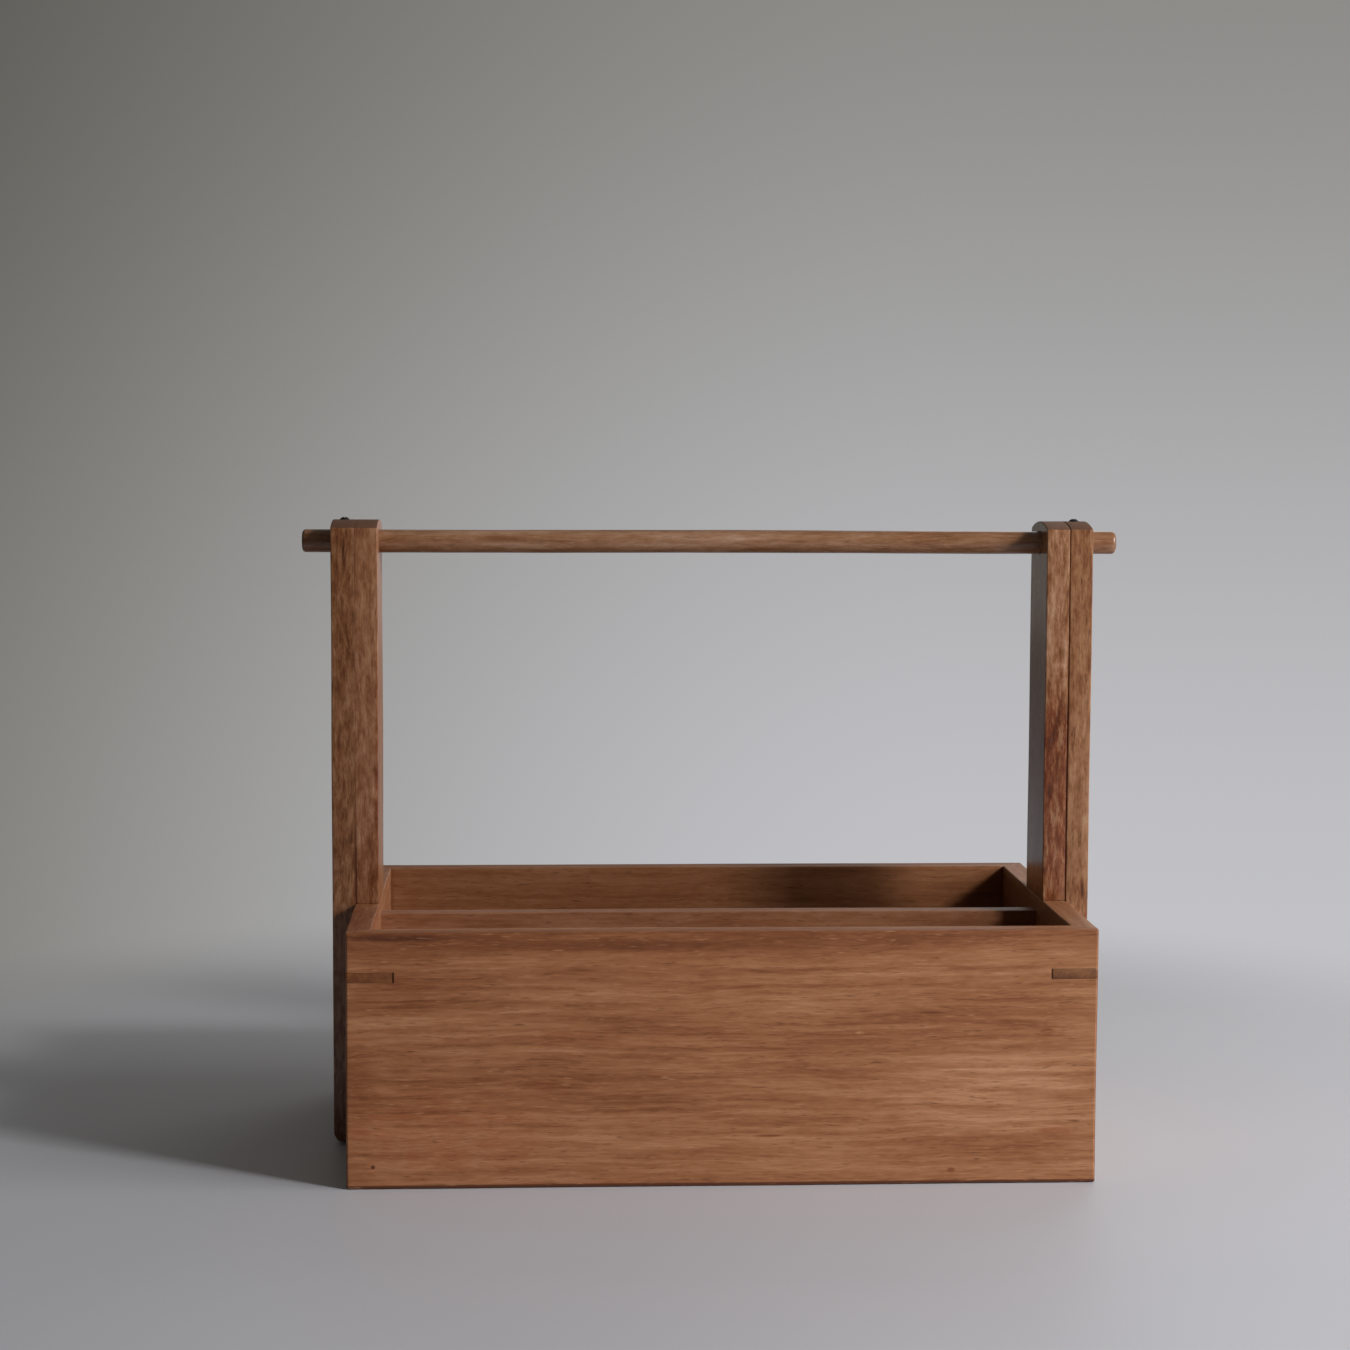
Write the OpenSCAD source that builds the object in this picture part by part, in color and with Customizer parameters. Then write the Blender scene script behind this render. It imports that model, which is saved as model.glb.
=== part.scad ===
// Open wooden tote with a rod handle: a mitred box with keyed corners, a lengthwise divider,
// and two laminated uprights that carry a round rod from end to end.
// Millimetres. The origin is on the floor under the middle of the box, +X runs along the box,
// +Y from the front wall to the back wall, +Z up.

/* [Box] */
// Outside length of the box, left to right
box_l = 370; // [300:5:460]
// Outside width of the box, front to back
box_w = 220; // [160:5:280]
// Height of the four walls
box_h = 127; // [90:1:180]
// Thickness of the four walls
wall_t = 12; // [9:0.5:18]
// Rounding of the four upright outer corners
corner_r = 1.25; // [0.5:0.25:4]
// Rounding of the eased long edges
edge_r = 0.7; // [0.4:0.1:2]

/* [Base panel] */
// Thickness of the base panel
base_t = 8; // [5:0.5:12]
// Height of the panel's underside above the floor
base_lift = 6; // [3:0.5:15]
// Depth of the groove round the walls that holds the panel
groove_d = 5; // [2:0.5:6]
// Room left for the panel at the bottom of its groove
swell_gap = 0.5; // [0.2:0.1:1.5]

/* [Divider] */
// Thickness of the divider
divider_t = 11; // [6:0.5:14]
// How far the divider's top lies below the rim
divider_drop = 8; // [2:0.5:30]
// Depth of the housings in the end walls that hold the divider
housing_d = 4; // [2:0.5:6]
// Clearance round the divider's ends in the housings
housing_gap = 0.15; // [0.05:0.05:0.5]

/* [Corner keys] */
// Thickness of the keys let in across the corners
key_t = 5; // [2:0.5:8]
// Depth of a key's centre below the rim
key_drop = 22; // [10:1:50]
// Wood left between a key and the inner corner
key_cover = 0.4; // [0.2:0.1:4]

/* [Uprights] */
// Width of the uprights, front to back
post_w = 46; // [32:1:80]
// Thickness of the outer ply of each upright
ply_t = 12; // [9:0.5:18]
// Height of the crown above the floor
post_top = 325; // [220:5:420]
// Rise of the crown's arc over its front and back edges
crown_rise = 3.7; // [1:0.1:8]
// Gap between the outer ply's foot and the floor
foot_gap = 1.5; // [0.5:0.5:6]
// Rounding of the outer ply's foot
foot_r = 5; // [1:0.5:8]
// Rounding of the edges that meet at the seam between the plies
seam_r = 0.5; // [0.2:0.1:1]

/* [Handle rod] */
// Diameter of the rod
rod_d = 12; // [8:0.5:20]
// Wood left between the crown and the rod
rod_cover = 5.2; // [3:0.2:20]
// Length of rod outside each upright
rod_out = 16; // [4:1:40]
// Rounding of the rod's ends
rod_end_r = 2; // [0.5:0.25:3.5]
// Clearance round the rod in its holes
rod_gap = 0.1; // [0.05:0.05:0.4]

/* [Rod screws] */
// Diameter of the round head
head_d = 5.6; // [4:0.2:8]
// Height of the round head
head_h = 1.7; // [1.2:0.1:3]
// Depth of the flat seat cut for the head
seat_d = 0.3; // [0.2:0.1:1]
// Diameter of the shank
shank_d = 3; // [2:0.1:3.5]
// How deep the screw goes into the rod
rod_bite = 7; // [3:0.5:7]

/* [Lap screws] */
// Diameter of the countersunk head
lap_head_d = 7; // [5.4:0.2:8]
// Diameter of the shank
lap_shank_d = 3.5; // [2.5:0.1:4]
// How deep the screw goes into the outer ply
lap_bite = 8; // [4:0.5:8]
// Height of the screws below the rim
lap_drop = 46; // [35:1:60]

/* [Screw fits] */
// Clearance round a screw in its hole
screw_gap = 0.05; // [0.02:0.01:0.15]
// Room left under a screw's tip
tip_gap = 0.5; // [0.2:0.1:0.8]
// Width of the cross recess in the heads
cross_w = 0.8; // [0.5:0.1:1]
// Length of the cross recess
cross_l = 3; // [2:0.1:3.6]
// Depth of the cross recess
cross_d = 0.9; // [0.4:0.1:1.1]

/* [Hidden] */

// Facets of the round shapes
$fn = 72;
// How far a cutting shape runs past the face that it cuts
past = 2;
// Inside length and width of the box
inner_l = box_l - 2 * wall_t;
inner_w = box_w - 2 * wall_t;
// Heights of the base panel's upper face and of the divider's top
base_top = base_lift + base_t;
divider_top = box_h - divider_drop;
// Leg of a key along each wall, which leaves the cover at the inner corner
key_leg = 2 * wall_t - key_cover * sqrt(2);
// Height of the rod's axis, and the rod's length
rod_z = post_top - rod_cover - rod_d / 2;
rod_l = box_l + 2 * (ply_t + rod_out);
// Radius of the crown's arc through its top and both its ends
crown_r = (pow(post_w / 2, 2) + pow(crown_rise, 2)) / (2 * crown_rise);
// Height where the straight part of an upright ends, and how many roundings that is under
// the crown's front and back edges
rim_room = 3;
shoulder_z = post_top - crown_rise - rim_room * edge_r;
// Radius of the round head's dome over its flat underside
dome_r = (pow(head_d / 2, 2) + pow(head_h, 2)) / (2 * head_h);
// Place of a lap screw, midway between the divider's face and the upright's edge
lap_y = (divider_t + post_w) / 4;
lap_z = box_h - lap_drop;
// Length of a countersunk head's cone
cone_h = (lap_head_d - lap_shank_d) / 2;
// Length of the screws' points, and the share of the shank's diameter left at the tip
point_h = 2;
tip_share = 0.25;
// Reach that goes past the outline of every piece
reach = box_l + post_top + 2 * crown_r;

// Rectangle about the origin, its lower corners rounded by r_low and its upper ones by r_high
module eased_rect(w, h, r_low, r_high) {
    difference() {
        square([w, h], center = true);
        for (side = [-1, 1]) {
            corner_waste(side * w / 2, -h / 2, -side, 1, r_low);
            corner_waste(side * w / 2, h / 2, -side, -1, r_high);
        }
    }
}

// What a rounding of radius r takes off the corner at x, y whose inside lies towards sx, sy
module corner_waste(x, y, sx, sy, r) {
    translate([x + sx * r, y + sy * r])
        difference() {
            waste = r + past;
            translate([sx > 0 ? -waste : 0, sy > 0 ? -waste : 0]) square(waste);
            circle(r);
        }
}

// Places an upright, or what belongs to it, at the left end for side -1 or the right for 1.
// Its own +Y points outwards and its own Y = 0 is the outer face of the end wall.
module at_end(side) {
    rotate([0, 0, -side * 90]) translate([0, box_l / 2, 0]) children();
}

// Front wall of a box of length l and width w: edges eased, ends mitred, outer corners rounded
module mitred_board(l, w) {
    intersection() {
        translate([0, (wall_t - w) / 2, box_h / 2])
            rotate([90, 0, 90])
                linear_extrude(l + 2 * past, center = true)
                    eased_rect(wall_t, box_h, edge_r, edge_r);
        translate([0, -w / 2, -past])
            linear_extrude(box_h + 2 * past)
                polygon([
                    [-l / 2 - past, -past],
                    [l / 2 + past, -past],
                    [l / 2 - wall_t - past, wall_t + past],
                    [wall_t + past - l / 2, wall_t + past]
                ]);
        box_block(l, w);
    }
}

// Solid block of length l and width w with the outside of the box
module box_block(l, w) {
    linear_extrude(box_h) eased_rect(l, w, corner_r, corner_r);
}

// Space of the key at the corner on side sx, sy
module key_space(sx, sy) {
    far = key_leg + past;
    translate([sx * box_l / 2, sy * box_w / 2, box_h - key_drop - key_t / 2])
        linear_extrude(key_t)
            polygon([[sx * past, sy * past], [-sx * far, sy * past], [sx * past, -sy * far]]);
}

// Space of the grooves round the walls that hold the base panel
module panel_space() {
    translate([0, 0, base_lift + base_t / 2])
        cube([inner_l + 2 * groove_d, inner_w + 2 * groove_d, base_t], center = true);
}

// Space of the divider and of its stopped housings in the end walls
module divider_space() {
    width = divider_t + 2 * housing_gap;
    translate([-inner_l / 2 - housing_d, -width / 2, base_top])
        cube([inner_l + 2 * housing_d, width, divider_top + housing_gap - base_top]);
}

// Wall on the long side sy
module long_wall(sy) {
    difference() {
        rotate([0, 0, sy > 0 ? 180 : 0]) mitred_board(box_l, box_w);
        panel_space();
        for (sx = [-1, 1]) key_space(sx, sy);
    }
}

// Wall at the end on side sx
module end_wall(sx) {
    difference() {
        rotate([0, 0, sx * 90]) mitred_board(box_w, box_l);
        panel_space();
        divider_space();
        for (sy = [-1, 1]) key_space(sx, sy);
        at_end(sx) lap_screws(screw_gap, tip_gap);
    }
}

module front_wall() {
    color("#a9673f") long_wall(-1);
}

module back_wall() {
    color("#a2623c") long_wall(1);
}

module left_wall() {
    color("#9c5c39") end_wall(-1);
}

module right_wall() {
    color("#a5643d") end_wall(1);
}

// Panel that lies in the grooves of the four walls
module base_panel() {
    room = 2 * (groove_d - swell_gap);
    color("#97593a")
        translate([0, 0, base_lift + base_t / 2])
            cube([inner_l + room, inner_w + room, base_t], center = true);
}

// Board that splits the box lengthwise, standing on the base panel, its top edges eased
module divider() {
    height = divider_top - base_top;
    color("#a06040")
        translate([0, 0, base_top + height / 2])
            rotate([90, 0, 90])
                linear_extrude(inner_l + 2 * (housing_d - housing_gap), center = true)
                    eased_rect(divider_t, height, 0, edge_r);
}

// Key let in across the corner on side sx, sy, flush with both walls
module corner_key(sx, sy) {
    color("#7f4526")
        intersection() {
            key_space(sx, sy);
            box_block(box_l, box_w);
        }
}

module key_front_left() {
    corner_key(-1, -1);
}

module key_front_right() {
    corner_key(1, -1);
}

module key_back_left() {
    corner_key(-1, 1);
}

module key_back_right() {
    corner_key(1, 1);
}

// Ply of thickness t from height bottom to the crown, between Y = y0 and Y = y0 + t, with
// edges rounded by r_low on its face at y0 and by r_high on its other face
module ply(t, y0, bottom, r_low, r_high) {
    translate([0, y0 + t / 2, 0])
        intersection() {
            translate([0, 0, bottom])
                linear_extrude(post_top - bottom + past) eased_rect(post_w, t, r_low, r_high);
            union() {
                translate([0, 0, post_top - crown_r])
                    rotate([-90, 0, 0])
                        rotate_extrude() half_of() eased_rect(2 * crown_r, t, r_low, r_high);
                translate([-post_w, -t, bottom - past])
                    cube([2 * post_w, 2 * t, shoulder_z - bottom + past]);
            }
        }
}

// The part of a flat outline that lies right of the Y axis, for turning it into a round solid
module half_of() {
    intersection() {
        children();
        translate([0, -reach]) square([reach, 2 * reach]);
    }
}

// Hole for the rod through both plies
module rod_hole() {
    translate([0, -wall_t - past, rod_z])
        rotate([-90, 0, 0])
            cylinder(h = wall_t + ply_t + 2 * past, d = rod_d + 2 * rod_gap);
}

// What the rounding of the outer ply's foot takes off
module foot_waste() {
    translate([0, ply_t, foot_gap])
        rotate([90, 0, 90])
            linear_extrude(post_w + 2 * past, center = true) corner_waste(0, 0, -1, 1, foot_r);
}

// Ply that stands on the end wall, flush with the wall's inner face
module inner_ply() {
    difference() {
        ply(wall_t, -wall_t, box_h, edge_r, seam_r);
        rod_hole();
    }
}

// Ply that runs down over the outside of the end wall, almost to the floor
module outer_ply() {
    difference() {
        ply(ply_t, 0, foot_gap, seam_r, edge_r);
        foot_waste();
        rod_hole();
        rod_screw_hole();
        lap_screws(screw_gap, tip_gap);
    }
}

module left_upright_inner() {
    color("#a3653f") at_end(-1) inner_ply();
}

module left_upright_outer() {
    color("#8f5634") at_end(-1) outer_ply();
}

module right_upright_inner() {
    color("#ab6a45") at_end(1) inner_ply();
}

module right_upright_outer() {
    color("#b07346") at_end(1) outer_ply();
}

// Seat and hole for a rod screw, from the crown down into the rod
module rod_screw_hole() {
    depth = rod_cover + rod_bite + tip_gap;
    translate([0, ply_t / 2, post_top]) {
        translate([0, 0, -seat_d])
            cylinder(h = seat_d + past, d = head_d + 2 * screw_gap);
        translate([0, 0, -depth])
            cylinder(h = depth + past, d = shank_d + 2 * screw_gap);
    }
}

// Round rod from end to end, its ends rounded, held by a screw in each upright
module handle_rod() {
    color("#a0673f")
        difference() {
            translate([0, 0, rod_z])
                rotate([0, 90, 0])
                    rotate_extrude() half_of() eased_rect(rod_d, rod_l, rod_end_r, rod_end_r);
            for (side = [-1, 1]) at_end(side) rod_screw_hole();
        }
}

// Cross recess cut down from Z = 0 into a screw's head
module cross_recess() {
    for (turn = [0, 90])
        rotate([0, 0, turn])
            translate([-cross_l / 2, -cross_w / 2, -cross_d])
                cube([cross_l, cross_w, cross_d + past]);
}

// Shank of diameter d and length l down from Z = 0, with a tapered point
module shank(d, l) {
    translate([0, 0, point_h - l]) cylinder(h = l - point_h, d = d);
    translate([0, 0, -l]) cylinder(h = point_h, d1 = tip_share * d, d2 = d);
}

// Round-headed screw that goes down through the crown into the rod
module rod_screw() {
    translate([0, ply_t / 2, post_top - seat_d]) {
        difference() {
            intersection() {
                translate([0, 0, head_h - dome_r]) sphere(dome_r);
                translate([-head_d, -head_d, 0]) cube([2 * head_d, 2 * head_d, head_h + past]);
            }
            translate([0, 0, head_h]) cross_recess();
        }
        shank(shank_d, rod_cover - seat_d + rod_bite);
    }
}

module left_rod_screw() {
    color("#1c1a19") at_end(-1) rod_screw();
}

module right_rod_screw() {
    color("#1c1a19") at_end(1) rod_screw();
}

// Pair of countersunk screws through the end wall into the outer ply, heads flush inside.
// A gap above 0 makes the holes for them, with extra depth below their points.
module lap_screws(gap, extra) {
    length = wall_t + lap_bite;
    for (side = [-1, 1])
        translate([side * lap_y, -wall_t, lap_z])
            rotate([90, 0, 0]) {
                translate([0, 0, -cone_h])
                    cylinder(h = cone_h, d1 = lap_shank_d + 2 * gap, d2 = lap_head_d + 2 * gap);
                if (gap > 0)
                    translate([0, 0, -length - extra])
                        cylinder(h = length + extra, d = lap_shank_d + 2 * gap);
                else
                    shank(lap_shank_d, length);
            }
}

// Lap screws with the cross recess in each head
module finished_lap_screws() {
    difference() {
        lap_screws(0, 0);
        for (side = [-1, 1])
            translate([side * lap_y, -wall_t, lap_z]) rotate([90, 0, 0]) cross_recess();
    }
}

module left_lap_screws() {
    color("#1c1a19") at_end(-1) finished_lap_screws();
}

module right_lap_screws() {
    color("#1c1a19") at_end(1) finished_lap_screws();
}

front_wall();
back_wall();
left_wall();
right_wall();
base_panel();
divider();
key_front_left();
key_front_right();
key_back_left();
key_back_right();
left_upright_inner();
left_upright_outer();
right_upright_inner();
right_upright_outer();
handle_rod();
left_rod_screw();
right_rod_screw();
left_lap_screws();
right_lap_screws();
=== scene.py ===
# %% [markdown]
# # An open wooden tote with a rod handle
#
# The tote is a mitred box with keys across its corners, a divider down the middle and two uprights that
# carry a round rod. Its construction is already packed as a fixed frame. This notebook gives every board
# its finished surface: hand-eased edges, closed joints with a hairline, and an oiled open-grained wood
# that is worked out in solid blocks, as real boards are cut from a tree.
#
# The first cell loads the frame. Each of its nodes keeps its place, so every new board takes its size from
# the box of the node that it stands for.

from math import cos, pi, radians, sin, sqrt

import bmesh
import bpy
import numpy as np
from mathutils import Matrix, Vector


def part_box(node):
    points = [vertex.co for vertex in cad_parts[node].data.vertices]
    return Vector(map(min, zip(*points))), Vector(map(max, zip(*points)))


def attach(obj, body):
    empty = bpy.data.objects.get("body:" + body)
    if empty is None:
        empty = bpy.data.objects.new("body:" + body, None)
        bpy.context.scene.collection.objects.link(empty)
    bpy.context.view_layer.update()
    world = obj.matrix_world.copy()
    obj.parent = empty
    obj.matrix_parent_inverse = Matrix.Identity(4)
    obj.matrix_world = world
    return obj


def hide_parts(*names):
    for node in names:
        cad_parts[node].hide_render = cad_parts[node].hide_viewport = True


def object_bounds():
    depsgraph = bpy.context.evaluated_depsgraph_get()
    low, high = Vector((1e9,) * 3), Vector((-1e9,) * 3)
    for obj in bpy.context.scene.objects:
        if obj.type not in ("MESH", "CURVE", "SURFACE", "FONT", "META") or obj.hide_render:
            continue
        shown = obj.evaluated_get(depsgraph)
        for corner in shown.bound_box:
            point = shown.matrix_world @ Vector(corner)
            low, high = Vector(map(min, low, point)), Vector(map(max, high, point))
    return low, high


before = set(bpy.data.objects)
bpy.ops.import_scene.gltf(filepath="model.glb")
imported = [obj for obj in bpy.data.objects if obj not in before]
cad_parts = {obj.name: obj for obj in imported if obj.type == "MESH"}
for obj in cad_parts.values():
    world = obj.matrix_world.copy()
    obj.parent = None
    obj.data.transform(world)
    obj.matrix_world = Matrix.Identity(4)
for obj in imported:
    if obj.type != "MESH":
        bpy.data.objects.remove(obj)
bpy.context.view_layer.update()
MM = 0.001
print("nodes in the frame:", len(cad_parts))

# %% [markdown]
# ## Sizes
#
# The boxes of a few nodes give the driving sizes: the outside of the box from the walls, the thickness of
# the stock from one wall, the leg of a key from the key. What a box can't tell, such as how far an edge is
# rounded over, is a named value here.

# %% Sizes from the frame
wall_low, wall_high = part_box("front_wall")
end_low, end_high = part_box("right_wall")
key_low, key_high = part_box("key_front_right")
rod_low, rod_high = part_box("handle_rod")
half_l = end_high.x
half_w = -wall_low.y
box_h = wall_high.z
wall_t = wall_high.y - wall_low.y
key_leg = key_high.x - key_low.x
rod_r = (rod_high.z - rod_low.z) / 2
rod_z = (rod_high.z + rod_low.z) / 2
corner_r = 1.25 * MM
edge_r = 0.5 * MM
arris_r = 0.3 * MM
foot_r = 0.8 * MM
print(f"box {2 * half_l:.3f} x {2 * half_w:.3f} x {box_h:.3f} m, stock {wall_t * 1000:.1f} mm")

# %% [markdown]
# ## Surfaces on a grid
#
# A shape here is an array of points with two indices, such as stations along a board and points round its
# section. `sheet` joins neighbours of the array into four-sided faces. A closed solid is a list of such
# sheets that share their borders, and `weld` gives each shared point one number, as if the sheets were
# glued at their seams. A face that has shrunk to a line goes, and one that has lost a corner becomes a
# triangle.

# %% From arrays to one mesh
def sheet(points, round_first=False, round_second=False):
    """Points (n, m, 3) as one row of points and the faces between point i, j and its next neighbours.

    round_first or round_second also joins the last row or column to the first."""
    points = np.asarray(points, float)
    n, m = points.shape[:2]
    i, j = np.meshgrid(
        np.arange(n if round_first else n - 1), np.arange(m if round_second else m - 1), indexing="ij"
    )
    after_i = (i + 1) % n
    after_j = (j + 1) % m
    corners = [i * m + j, after_i * m + j, after_i * m + after_j, i * m + after_j]
    return points.reshape(-1, 3), np.stack(corners, -1).reshape(-1, 4)


def weld(sheets, reach=1e-7):
    """All sheets as one set of points, where points closer than reach are one, and its faces."""
    points = np.concatenate([p for p, _ in sheets])
    starts = np.cumsum([0] + [len(p) for p, _ in sheets[:-1]])
    faces = np.concatenate([f + start for (_, f), start in zip(sheets, starts)])
    cells = np.floor(points / reach + 0.37).astype(np.int64)
    _, first, number = np.unique(cells, axis=0, return_index=True, return_inverse=True)
    faces = number.reshape(-1)[faces]
    repeats = faces == np.roll(faces, -1, axis=1)
    lost = repeats.sum(axis=1)
    gap = repeats.argmax(axis=1)[lost == 1]
    kept = (gap[:, None] + np.arange(1, 4)) % 4
    triangles = np.take_along_axis(faces[lost == 1], kept, axis=1)
    return points[first], faces[lost == 0].tolist() + triangles.tolist()


def solid(name, sheets):
    """A mesh object made of welded sheets, with its faces turned outwards."""
    points, faces = weld(sheets)
    mesh = bpy.data.meshes.new(name)
    mesh.from_pydata(points, [], faces)
    work = bmesh.new()
    work.from_mesh(mesh)
    bmesh.ops.recalc_face_normals(work, faces=work.faces)
    work.to_mesh(mesh)
    work.free()
    made = bpy.data.objects.new(name, mesh)
    bpy.context.scene.collection.objects.link(made)
    return made


# %% [markdown]
# ## Cutting
#
# Grooves, slots and bores are cut as on the bench: a tool that has the shape of the waste is taken out of
# the board. Blender's Boolean modifier does that, and its result is then kept as the board's own mesh.
# Turned tools, such as drills and countersinks, are a profile carried round an axis.

# %% Tools and the cut
def around(profile, centre, axis="z", steps=40):
    """A turned solid: each (place, radius) of the profile is carried round the axis through centre.

    Point = centre + place * axis + radius * (cos a * side + sin a * other side), for a full turn of a."""
    place, radius = np.asarray(profile, float).T
    angle = np.arange(steps) * 2 * pi / steps
    along = np.repeat(place[:, None], steps, 1)
    side = radius[:, None] * np.cos(angle)
    other = radius[:, None] * np.sin(angle)
    order = {"x": (along, side, other), "z": (side, other, along)}[axis]
    return sheet(np.stack(order, -1) + np.asarray(centre), round_second=True)


def block(low, high):
    """A plain block between two corners, as six sheets, for use as a cutting tool."""
    x, y, z = zip(low, high)
    faces = []
    for turn in range(3):
        a, b, c = np.roll(np.arange(3), turn)
        for level in (x, y, z)[c]:
            grid = np.zeros((2, 2, 3))
            grid[..., a] = np.array((x, y, z)[a])[:, None]
            grid[..., b] = np.array((x, y, z)[b])[None, :]
            grid[..., c] = level
            faces.append(sheet(grid))
    return faces


def prism(outline, low, high):
    """An upright prism over an outline of (x, y) points, closed by fans round its middle."""
    outline = np.asarray(outline, float)
    levels = [np.column_stack([outline, np.full(len(outline), z)]) for z in (low, high)]
    sides = [sheet(np.stack(levels), round_second=True)]
    for level in levels:
        middle = np.repeat(level.mean(axis=0)[None], len(level), 0)
        sides.append(sheet(np.stack([middle, level]), round_second=True))
    return sides


def cut(board, tools):
    """Takes the tools' volume out of the board, and keeps the result as the board's mesh."""
    waste = solid(board.name + "_waste", tools)
    modifier = board.modifiers.new("cut", "BOOLEAN")
    modifier.operation = "DIFFERENCE"
    modifier.solver = "EXACT"
    modifier.object = waste
    depsgraph = bpy.context.evaluated_depsgraph_get()
    mesh = bpy.data.meshes.new_from_object(board.evaluated_get(depsgraph))
    board.modifiers.clear()
    board.data = mesh
    bpy.data.objects.remove(waste)


# %% [markdown]
# ## A hand's touch
#
# Nothing planed and sanded by hand is dead flat. One gentle field of waves, a tenth of a millimetre high,
# moves the points of every piece alike. Because it depends only on the place in space, pieces that touch
# move together, and the joints stay closed.
#
# `finish_piece` does this to each new piece, smooths its shading up to the real edges, puts it on the
# part's body and hides the node that it stands for.

# %% Finish of every new piece
wave_size = 0.09 * MM
wave_lengths = np.array([0.083, 0.127, 0.171, 0.239])
wave_turns = np.random.default_rng(11)
wave_ways = wave_turns.normal(size=(4, 3))
wave_ways /= np.linalg.norm(wave_ways, axis=1)[:, None]
wave_moves = wave_turns.normal(size=(4, 3))
wave_starts = wave_turns.uniform(0, 2 * pi, 4)


def hand_planed(points):
    """Adds a sum of four plane waves: size * move * sin(2 pi (place . way) / length + start)."""
    phase = points @ (wave_ways / wave_lengths[:, None]).T * 2 * pi + wave_starts
    return points + wave_size * np.sin(phase) @ wave_moves


def finish_piece(piece, slot, *nodes, sharp=38):
    """Moves the points by the waves, shades edges below the angle sharp smooth, and ties the piece."""
    mesh = piece.data
    flat = np.empty(len(mesh.vertices) * 3)
    mesh.vertices.foreach_get("co", flat)
    mesh.vertices.foreach_set("co", hand_planed(flat.reshape(-1, 3)).reshape(-1))
    mesh.polygons.foreach_set("use_smooth", [True] * len(mesh.polygons))
    mesh.set_sharp_from_angle(angle=radians(sharp))
    mesh.update()
    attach(piece, "root")
    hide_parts(*nodes)
    print(f"{piece.name}: {len(mesh.vertices)} points, {len(mesh.polygons)} faces")
    return piece


# %% [markdown]
# ## The section of a board
#
# Each board starts as a rectangle with eased edges. Its section is measured as depth from the outer face
# and height. The outer half and the inner half have the same heights, so the end of a board can be closed
# by rows that run straight across.

# %% Section of a board with eased edges
ease_steps = 5
flat_steps = 5


def eased_rows(thick, height, r_low, r_high, levels):
    """Outer ends (depth, height) and inner ends of the rows across a section, from bottom to top.

    A rounding of radius r goes through depth r (1 - sin a), height r (1 - cos a), a from 0 to 90."""
    a = np.linspace(0, pi / 2, ease_steps + 1)
    r_low, r_high = (np.atleast_1d(r)[:, None] for r in (r_low, r_high))
    middle = np.repeat(np.asarray(levels)[None], max(len(r_low), len(r_high)), 0)
    depth = np.hstack([r_low * (1 - np.sin(a)), 0 * middle, r_high * (1 - np.cos(a))])
    place = np.hstack([r_low * (1 - np.cos(a)), middle, height - r_high * (1 - np.sin(a))])
    return np.stack([depth, place], -1), np.stack([thick - depth, place], -1)


def section_loop(outer, inner):
    """The rows' ends as one loop: up the outer face, across the top, down the inner face and back."""
    share = np.linspace(0, 1, flat_steps + 1)[1:-1, None, None]
    top = outer[:, -1] + (inner[:, -1] - outer[:, -1]) * share
    bottom = inner[:, 0] + (outer[:, 0] - inner[:, 0]) * share
    return np.concatenate([outer, top.swapaxes(0, 1), inner[:, ::-1], bottom.swapaxes(0, 1)], axis=1)


def across(outer, inner):
    """The rows filled with points, which closes the end of a board."""
    share = np.linspace(0, 1, flat_steps + 1)[:, None, None]
    return (outer + (inner - outer) * share).swapaxes(0, 1)


# %% [markdown]
# ## The four walls
#
# A wall is that section carried along the outside of the box. Near the corner the outer face turns on an
# arc of 2 mm, and deeper layers turn on smaller arcs about the same centre. The mitre cuts every layer at
# 45 degrees. At the mitre the section shrinks by a tenth of a millimetre, which leaves the hairline that
# even a good mitre shows.
#
# The rounding of the rim is not quite even along a board, because it was done with a sanding block. A slow
# wave of the radius says so, and fades out at the corners, where two walls must agree.

# %% A mitred wall
joint_gap = 0.12 * MM
station_gap = 2.5 * MM
level_gap = 3 * MM


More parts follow.
